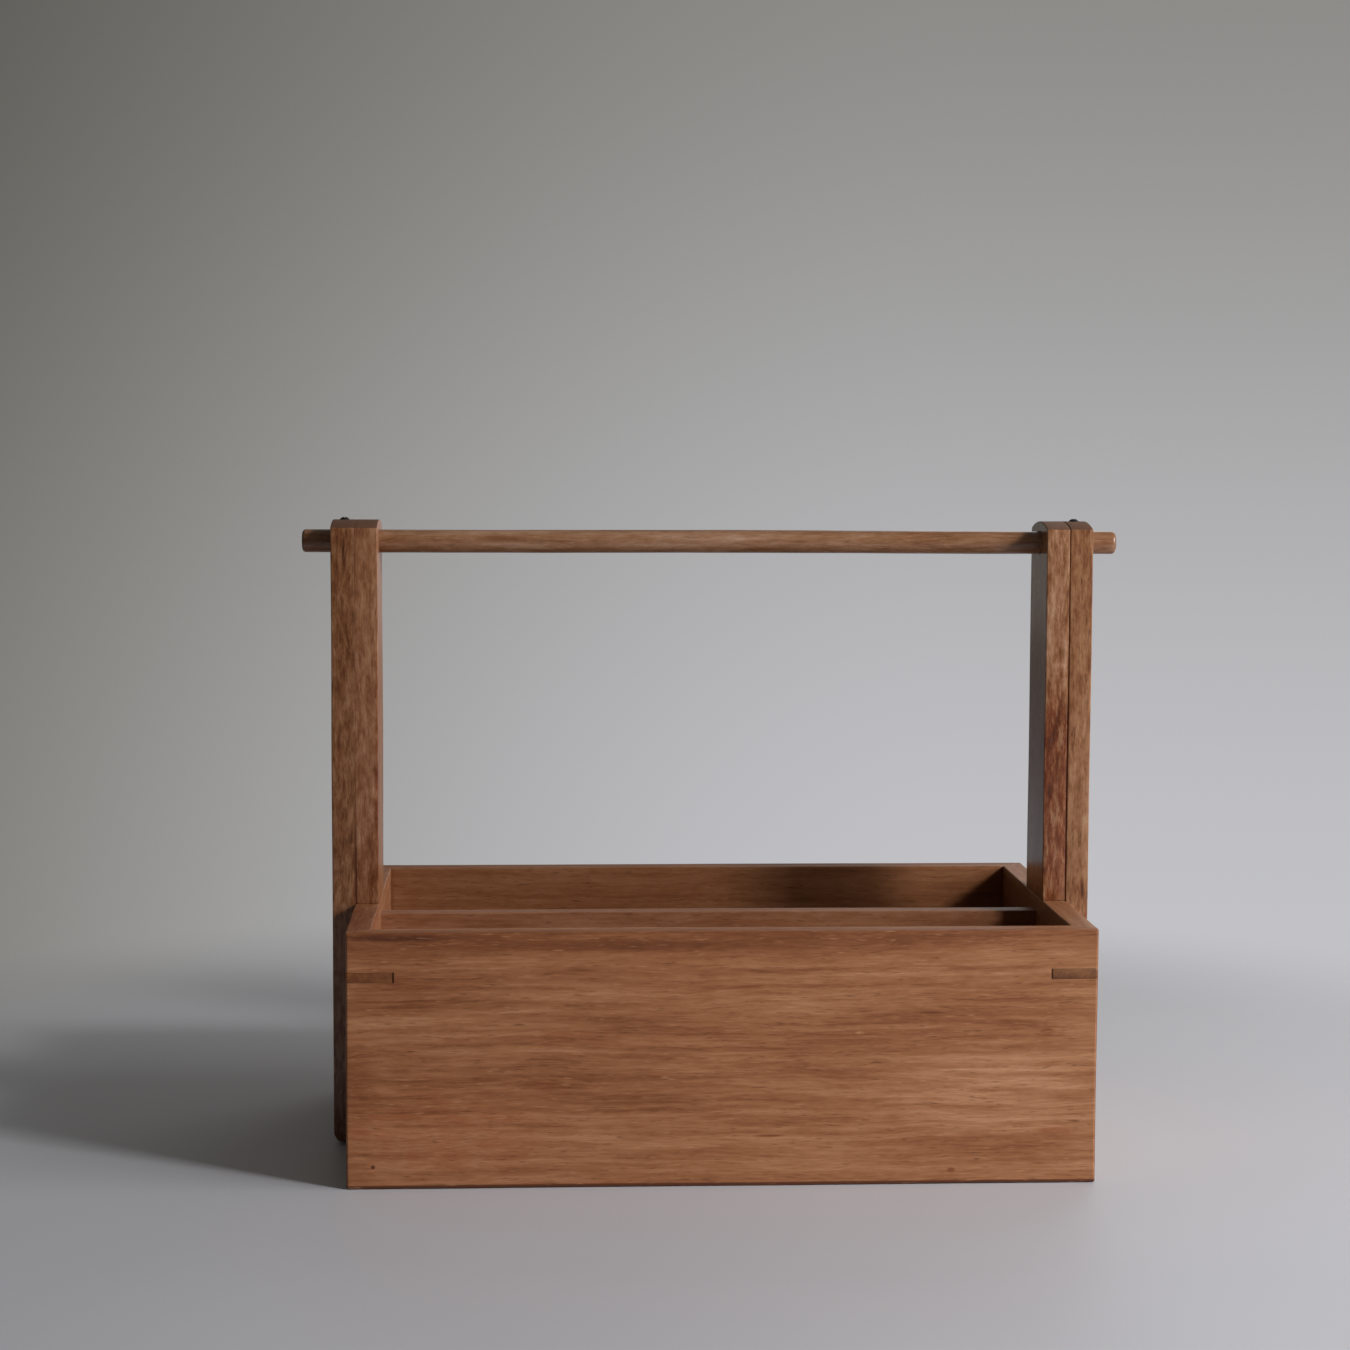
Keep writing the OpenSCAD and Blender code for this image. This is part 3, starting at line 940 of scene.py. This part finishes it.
# %% Blackened steel
def blackened_steel():
    material, place, shader = start_material("blackened_steel")
    noise = {"Vector": place, "Scale": 900.0, "Detail": 4.0}
    worn = place.node("ShaderNodeTexNoise", {}, noise)
    thin = worn.step(0.52, 0.72)
    feed(
        shader,
        Base_Color=thin.mixed((0.012, 0.011, 0.011, 1), (0.045, 0.040, 0.036, 1)),
        Roughness=0.5 - 0.15 * thin,
        Metallic=0.3 + 0.5 * thin,
    )
    return material


# %% [markdown]
# ## Which board is cut from which wood
#
# Each board gets its own piece of the tree: another seed, another distance from the pith and another tone.
# The grain runs along the long walls, across the end walls, up the uprights and slantwise in the keys.

# %% Materials onto pieces
along_x = (0, 0, 0)
along_y = (0, 0, -pi / 2)
along_z = (0, pi / 2, 0)
slant_right = (0, 0, -pi / 4)
slant_left = (0, 0, pi / 4)
# A dark band along the bottom 2 mm of every wall is painted contact shadow, where the walls meet the floor.
painted_contact_shadow = ((0, 0, 0), (900, 900, 2.2), -1.8, 0.0)
front_spots = (
    painted_contact_shadow,
    ((-50, -110, 119.5), (110, 4, 3.4), -0.16, 0.0),
    ((-162, -110, 124.5), (34, 4, 2.6), -0.20, 0.15),
    ((-20, -110, 125.0), (330, 14, 14), -0.31, 0.0),
    # The paler patch at the front's lower right is partly paler wood and partly painted sheen.
    ((132, -110, 50), (62, 5, 34), 0.13, 0.0),
    ((130, -110, 10), (70, 5, 13), -0.05, 0.0),
    ((-184, -110, 40), (20, 8, 55), -0.12, 0.1),
    ((-140, -110, 30), (70, 5, 30), -0.02, 0.30),
    ((-60, -110, 75), (90, 5, 8), -0.05, 0.12),
    ((-85, -110, 51), (30, 4, 4), -0.12, 0.15),
    ((160, -110, 76), (5, 3, 3), -0.14, 0.2),
    ((165, -110, 26), (16, 3, 3), -0.14, 0.2),
    ((150, -110, 29), (9, 3, 1.6), -0.14, 0.1),
    ((102, -110, 86), (8, 2, 1.0), -0.30, 0.0),
    ((22, -110, 25), (11, 2, 0.9), -0.35, 0.0),
    ((-172, -110, 11), (1.3, 2, 1.3), -0.80, 0.0),
    ((113, -110, 7), (3.0, 2, 1.6), -0.25, 0.2),
    ((67, -110, 76), (3.0, 2, 1.2), 0.30, 0.0),
)
left_wall_spots = (
    painted_contact_shadow,
    ((-179, -70, 127), (14, 60, 8), -0.22, 0.4),
)
right_inner_spots = (
    # Dark band down the seam: a glue line, widened with painted shade of the seam's groove.
    ((185, -23, 200), (1.3, 3, 170), -0.35, 0.2),
    ((179, -23, 175), (11, 26, 80), -0.15, 0.80),
    ((175, -23, 170), (4, 8, 60), -0.06, 0.45),
    ((178, -23, 212), (9, 16, 28), -0.20, 0.45),
    ((179, -23, 285), (14, 26, 60), 0.05, 0.0),
)
right_outer_spots = (
    # Dark band down the seam: a glue line, widened with painted shade of the seam's groove.
    ((185, -23, 200), (1.1, 3, 170), -0.35, 0.2),
    ((191, -23, 150), (14, 26, 80), 0.09, 0.0),
    ((194, -23, 134), (1.6, 4, 9), -0.40, 0.0),
)
left_outer_spots = (
    # Dark band down the seam: a glue line, widened with painted shade of the seam's groove.
    ((-185, -23, 140), (1.3, 3, 55), -0.45, 0.2),
    ((-190.3, -23, 308), (1.4, 4, 12), -0.45, 0.0),
    ((-193, -23, 180), (3, 8, 60), -0.08, 0.10),
    ((-191, -23, 155), (9, 20, 45), -0.06, 0.0),
)
left_inner_spots = (
    # Dark band down the seam: a glue line, widened with painted shade of the seam's groove.
    ((-185, -23, 140), (1.0, 3, 55), -0.45, 0.2),
    ((-179.5, -23, 250), (3.2, 10, 70), 0.18, 0.0),
    ((-174, -23, 200), (1.8, 10, 80), -0.08, 0.45),
    ((-179, -23, 140), (9, 20, 40), -0.12, 0.20),
)
boards = {
    "front_wall": dict(
        turn=along_x, mottle=0.32, worn_top=0.16, fibre=0.5, seed=3, pith=(0.10, -0.28), year=3.6 * MM, contrast=1.1, spots=front_spots,
    ),
    "back_wall": dict(turn=along_x, patch=14 * MM, spots=(painted_contact_shadow,), worn_top=0.16, seed=17, pith=(0.06, -0.09), year=3.0 * MM, contrast=0.70, mottle=0.45),
    "left_wall": dict(turn=along_y, mottle=0.35, spots=left_wall_spots, worn_top=0.16, seed=29, pith=(0.07, 0.05), year=3.1 * MM, contrast=0.80),
    "right_wall": dict(turn=along_y, mottle=0.35, spots=(painted_contact_shadow,), worn_top=0.16, seed=41, pith=(-0.06, 0.06), year=3.3 * MM, contrast=0.80),
    "base_panel": dict(turn=along_x, seed=53, pith=(0.02, 0.07), year=3.6 * MM, tone=-0.02),
    "divider": dict(turn=along_x, patch=14 * MM, worn_top=0.16, seed=67, pith=(0.05, -0.12), year=2.8 * MM, contrast=0.70, mottle=0.6),
    "key_front_right": dict(turn=slant_right, seed=71, year=1.8 * MM, tone=-0.10, mottle=1.2),
    "key_front_left": dict(turn=slant_left, seed=73, year=1.8 * MM, tone=-0.10, mottle=0.8),
    "key_back_right": dict(turn=slant_left, seed=79, year=1.8 * MM, tone=-0.09, mottle=0.9),
    "key_back_left": dict(turn=slant_right, seed=83, year=1.8 * MM, tone=-0.08, mottle=0.9),
    "left_upright_inner": dict(
        turn=along_z, patch=11 * MM, open_grain=0.8, planed=0.25, fibre=0.9, seed=89, pith=(0.03, 0.012), year=2.6 * MM, taper=0.03, contrast=0.6,
        mottle=1.7, wander=6 * MM, gloss=0.05, spots=left_inner_spots,
    ),
    "left_upright_outer": dict(
        turn=along_z, patch=10 * MM, open_grain=0.8, planed=0.25, fibre=0.9, seed=97, pith=(-0.05, 0.04), year=2.4 * MM, taper=0.01, contrast=0.7,
        mottle=2.1, wander=6 * MM, gloss=0.08, spots=left_outer_spots,
    ),
    "right_upright_inner": dict(
        turn=along_z, patch=12 * MM, open_grain=0.7, planed=0.25, fibre=0.7, seed=101, pith=(0.02, -0.012), year=2.8 * MM, taper=0.03, contrast=0.7,
        mottle=2.2, wander=7 * MM, gloss=0.17, spots=right_inner_spots,
    ),
    "right_upright_outer": dict(
        turn=along_z, patch=12 * MM, open_grain=0.9, planed=0.25, fibre=1.1, seed=103, pith=(-0.04, 0.03), year=2.6 * MM, taper=0.02, contrast=0.5,
        mottle=1.9, wander=6 * MM, gloss=0.08, spots=right_outer_spots,
    ),
    "handle_rod": dict(
        turn=along_x, patch=16 * MM, seed=107, pith=(0.02, 0.02), year=2.4 * MM, mottle=0.8, wander=5 * MM, gloss=0.16,
    ),
}
stains = {
    "front_wall": (1.40, 1.38, 1.31),
    "back_wall": (0.91, 0.85, 0.79),
    "left_wall": (1.15, 1.10, 1.12),
    "right_wall": (1.10, 1.05, 1.00),
    "base_panel": (1.00, 1.00, 1.00),
    "divider": (1.03, 0.99, 1.05),
    "key_front_right": (0.95, 0.80, 0.38),
    "key_front_left": (1.15, 0.86, 0.33),
    "key_back_right": (1.10, 1.00, 0.85),
    "key_back_left": (1.10, 1.00, 0.85),
    "left_upright_inner": (1.04, 1.06, 1.10),
    "left_upright_outer": (0.82, 0.81, 0.75),
    "right_upright_inner": (1.04, 1.13, 1.24),
    "right_upright_outer": (0.99, 1.01, 0.97),
    # The rod's stain is partly painted sheen: its blue is raised so the whole rod looks greyer, like the sheen on its
    # top.
    "handle_rod": (1.09, 1.31, 1.60),
}
steel = blackened_steel()
for name, recipe in boards.items():
    low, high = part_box(name)
    piece = bpy.data.objects["dressed_" + name]
    piece.data.materials.clear()
    recipe["stain"] = stains[name]
    piece.data.materials.append(wood("oiled_" + name, middle=(low + high) / 2, **recipe))
for name in ("left_rod_screw", "right_rod_screw"):
    piece = bpy.data.objects["dressed_" + name]
    piece.data.materials.clear()
    piece.data.materials.append(steel)
for name in ("left_lap_screws", "right_lap_screws"):
    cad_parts[name].data.materials.clear()
    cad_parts[name].data.materials.append(steel)

# %% [markdown]
# ## Floor, light and camera
#
# The floor is a wide pale disc. Where it is far from the tote, rays that come from the camera pass through
# it to the plain background, so floor and background melt into each other from any side.

# %% Floor
floor_fade = (0.42, 0.74)
floor_radius = 4.0
ring = np.linspace(0, floor_radius, 9)
turn = np.arange(64) * 2 * pi / 64
floor_points = np.stack([
    ring[:, None] * np.cos(turn), ring[:, None] * np.sin(turn), np.zeros((9, 64)),
], -1)
floor_points[..., 2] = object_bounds()[0].z
floor = solid("floor", [sheet(floor_points, round_second=True)])
if floor.data.polygons[0].normal.z < 0:
    floor.data.flip_normals()
material, place, shader = start_material("pale_floor")
cloud = place.node("ShaderNodeTexNoise", {}, {"Vector": place, "Scale": 3.0, "Detail": 3.0})
feed(shader, Base_Color=cloud.step(0.2, 0.8).mixed((0.535, 0.533, 0.572, 1), (0.563, 0.561, 0.600, 1)))
shader.inputs["Roughness"].default_value = 0.52
far = place.node("ShaderNodeVectorMath", {"operation": "LENGTH"}, {0: place}, 1).step(*floor_fade)
seen = Signal(material.node_tree.nodes.new("ShaderNodeLightPath").outputs["Is Camera Ray"])
clear = place.node("ShaderNodeBsdfTransparent")
blend = {0: far * seen, 1: Signal(shader.outputs[0]), 2: clear}
mixed = place.node("ShaderNodeMixShader", {}, blend)
material.node_tree.links.new(mixed.socket, material.node_tree.nodes["Material Output"].inputs[0])
floor.data.materials.append(material)

# %% [markdown]
# The light is a window's. Its main lamp stands on the right and in front, 28 degrees up, so the uprights
# shade the inside but leave most of the rod lit. A weak one below it stands for the window's foot, a wide
# one further round for a bright wall, and a dim one behind for the far wall. The grey room is lighter
# towards the right and darker overhead.

# %% Light
def lamp(name, azimuth, elevation, distance, width, height, watts):
    """An area lamp that looks at the box. Azimuth 0 is +X and turns towards the front wall."""
    data = bpy.data.lights.new(name, "AREA")
    data.shape = "RECTANGLE"
    data.size = width
    data.size_y = height
    data.energy = watts
    made = bpy.data.objects.new(name, data)
    a, e = radians(azimuth), radians(elevation)
    way = np.array([cos(a) * cos(e), -sin(a) * cos(e), sin(e)])
    aim = np.array([0, 0, 0.06])
    side = np.cross([0, 0, 1], way)
    side /= np.linalg.norm(side)
    up = np.cross(way, side)
    made.matrix_world = Matrix(np.vstack([
        np.column_stack([side, up, way, aim + way * distance]), [0, 0, 0, 1],
    ]).tolist())
    made.visible_camera = False
    bpy.context.scene.collection.objects.link(made)
    return made


lamp("window", azimuth=38, elevation=28, distance=2.2, width=0.30, height=0.30, watts=24.0)
lamp("window_foot", azimuth=36, elevation=14, distance=2.2, width=0.30, height=0.30, watts=5.0)
lamp("bright_wall", azimuth=19, elevation=25, distance=2.0, width=1.15, height=1.15, watts=20.0)
lamp("far_wall", azimuth=-60, elevation=30, distance=1.4, width=0.80, height=0.80, watts=2.0)

world = bpy.data.worlds.new("grey_room")
bpy.context.scene.world = world
world.use_nodes = True
tree = world.node_tree
toward = Signal(tree.nodes.new("ShaderNodeTexCoord").outputs["Generated"])
parts = toward.node("ShaderNodeSeparateXYZ", {}, {"Vector": toward}).socket.node.outputs
sky_x, sky_y, sky_z = Signal(parts["X"]), Signal(parts["Y"]), Signal(parts["Z"])
sideways = sky_x.step(-0.36, 0.16) * 0.41 + 0.13
upwards = (1 - sky_z.step(-0.20, 0.22)) * 0.57 + 0.45
wall = sideways * upwards
dim = sky_y * 0.090 + sky_x * 0.060 + 0.137
rays = tree.nodes.new("ShaderNodeLightPath").outputs
seen = Signal(rays["Is Camera Ray"])
mirrored = Signal(rays["Is Glossy Ray"]) * sky_y.step(0.0, 0.7)
shown = seen.maths("MAXIMUM", seen, mirrored)
level = wall * shown + dim * (1 - shown)
shade = (1 - wall.step(0.05, 0.55)).mixed((0.985, 0.985, 1.03, 1), (1.03, 1.0, 0.90, 1))
tree.links.new(shade.socket, tree.nodes["Background"].inputs["Color"])
tree.links.new(level.socket, tree.nodes["Background"].inputs["Strength"])

# %% Camera
camera = bpy.data.cameras.new("camera")
camera.lens = 74.0
camera.sensor_width = 36.0
camera.clip_end = 50
viewer = bpy.data.objects.new("camera", camera)
pitch, yaw, roll = 0.08275, -0.05303, -0.00413
turned = Matrix.Rotation(yaw, 4, "Z") @ Matrix.Rotation(pi / 2 - pitch, 4, "X") @ Matrix.Rotation(-roll, 4, "Z")
viewer.matrix_world = Matrix.Translation((-0.09603, -1.45032, 0.36423)) @ turned
bpy.context.scene.collection.objects.link(viewer)
bpy.context.scene.camera = viewer
bpy.context.scene.view_settings.view_transform = "Standard"
